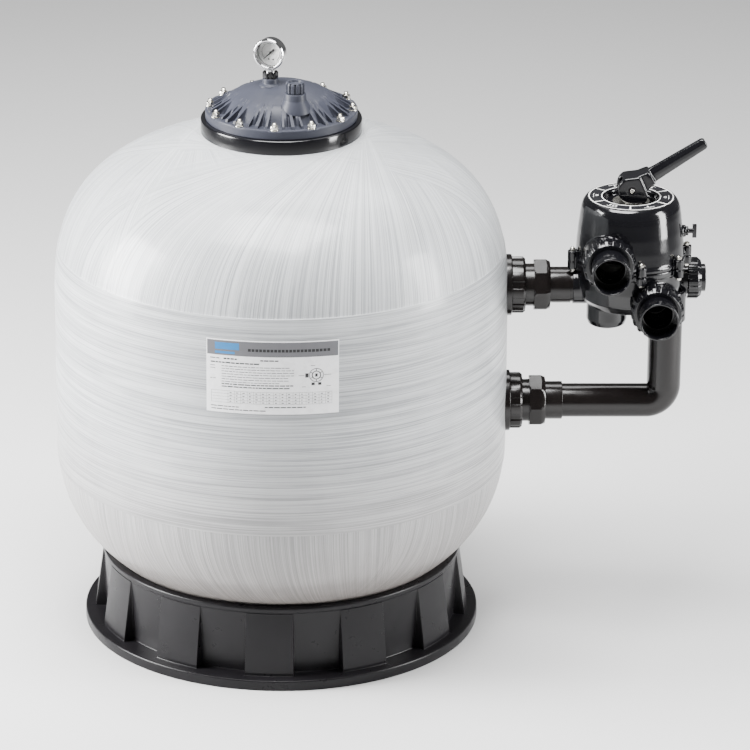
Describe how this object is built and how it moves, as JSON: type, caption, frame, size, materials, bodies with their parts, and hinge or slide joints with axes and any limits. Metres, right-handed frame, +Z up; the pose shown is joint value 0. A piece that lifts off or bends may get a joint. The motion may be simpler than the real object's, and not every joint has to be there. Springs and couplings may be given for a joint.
{
  "type": "sand filter tank",
  "caption": "Side-mount pool sand filter: round fibre-wound tank on a skirted base, bolted lid with gauge and bleed knob, and a multi-way lever valve piped to its side.",
  "frame": {"origin": "on the tank's axis, at the face that it rests on", "axes": "+Z up along the tank axis, +X from the tank towards its valve, -Y the way the valve's pipe ports face"},
  "size_m": [1.2115, 0.8427, 1.1395],
  "materials": {
    "wound_shell": "clear resin over wound glass fibre, semi-gloss",
    "base_plastic": "moulded, semi-gloss",
    "label_film": "printed film, satin",
    "lid_plastic": "moulded, satin",
    "valve_plastic": "moulded, glossy",
    "fitting_plastic": "moulded, semi-gloss",
    "seal_rubber": "smooth",
    "zinc_steel": "bright",
    "gauge_steel": "polished",
    "tube_brass": "satin",
    "dial_white": "matt",
    "needle_black": "matt",
    "gauge_glass": "clear",
    "dial_plate": "glossy with printed white lines",
    "rotor_plastic": "moulded, satin",
    "inner_plastic": "moulded",
    "lateral_plastic": "moulded"
  },
  "bodies": {
    "root": {"base_skirt": "base_plastic", "tank_shell": "wound_shell", "name_label": "label_film", "neck_flange": "valve_plastic", "lid_o_ring": "seal_rubber", "lid": "lid_plastic", "lid_studs": "zinc_steel", "lid_washers": "zinc_steel", "lid_nuts": "zinc_steel", "gauge_adapter": "fitting_plastic", "gauge_stem": "gauge_steel", "gauge_case": "gauge_steel", "gauge_bourdon_tube": "tube_brass", "gauge_dial": "dial_white", "gauge_lens": "gauge_glass", "gauge_bezel": "gauge_steel", "upper_bulkhead": "fitting_plastic", "lower_bulkhead": "fitting_plastic", "port_gaskets": "seal_rubber", "port_saddles": "fitting_plastic", "upper_locknut": "fitting_plastic", "lower_locknut": "fitting_plastic", "upper_union_nut": "fitting_plastic", "lower_union_nut": "fitting_plastic", "upper_union_tail": "fitting_plastic", "lower_union_tail": "fitting_plastic", "union_o_rings": "seal_rubber", "link_pipe": "fitting_plastic", "valve_body": "valve_plastic", "valve_gasket": "seal_rubber", "valve_o_ring": "seal_rubber", "valve_cover": "valve_plastic", "cover_bolts": "zinc_steel", "cover_nuts": "zinc_steel", "index_plate": "dial_plate", "gauge_port_plug": "valve_plastic", "pump_union_nut": "valve_plastic", "pump_union_tail": "valve_plastic", "return_union_nut": "valve_plastic", "return_union_tail": "valve_plastic", "waste_union_nut": "valve_plastic", "waste_plug": "valve_plastic", "riser_pipe": "inner_plastic", "diffuser": "inner_plastic", "collector_pipe": "inner_plastic", "lateral_hub": "inner_plastic", "laterals": "lateral_plastic", "air_relief_tube": "inner_plastic", "drain_fitting": "fitting_plastic", "drain_strainer": "lateral_plastic", "drain_cap": "fitting_plastic"},
    "needle": {"gauge_needle": "needle_black"},
    "bleed_carrier": {"bleed_o_ring": "seal_rubber"},
    "bleed_screw": {"bleed_knob": "lid_plastic"},
    "turret": {"thrust_washer": "zinc_steel"},
    "rotor": {"valve_rotor": "rotor_plastic", "stem_o_rings": "seal_rubber", "handle_pin": "zinc_steel", "rotor_spring": "zinc_steel"},
    "lever": {"handle": "valve_plastic"}
  },
  "joints": [
    {"name": "valve_index", "type": "hinge", "parent": "root", "child": "turret", "pos_m": [0.645, 0, 0.83], "axis": [0, 0, 1], "continuous": true},
    {"name": "rotor_lift", "type": "slide", "parent": "turret", "child": "rotor", "axis": [0, 0, 1], "range_m": [0, 0.006], "deforming": ["rotor_spring"]},
    {"name": "handle_press", "type": "hinge", "parent": "rotor", "child": "lever", "pos_m": [0.645, 0, 0.85], "axis": [0, 1, 0], "range_deg": [0, 30], "stiffness_Nm_per_rad": 4, "springref_deg": -28.65},
    {"name": "needle_swing", "type": "hinge", "parent": "root", "child": "needle", "pos_m": [-0.02, -0.008, 1.11], "axis": [0.342, 0.9397, 0], "range_deg": [0, 270], "stiffness_Nm_per_rad": 0.0005, "springref_deg": -28.65},
    {"name": "bleed_rise", "type": "slide", "parent": "root", "child": "bleed_carrier", "axis": [0, 0, 1], "range_m": [0, 0.004]},
    {"name": "bleed_turn", "type": "hinge", "parent": "bleed_carrier", "child": "bleed_screw", "pos_m": [0.025, -0.072, 1.06], "axis": [0, 0, 1], "range_deg": [0, 720]}
  ],
  "couplings": [
    {"joint": "rotor_lift", "follows": "handle_press", "m_per_rad": 0.01145},
    {"joint": "bleed_turn", "follows": "bleed_rise", "rad_per_m": 3141.6}
  ]
}
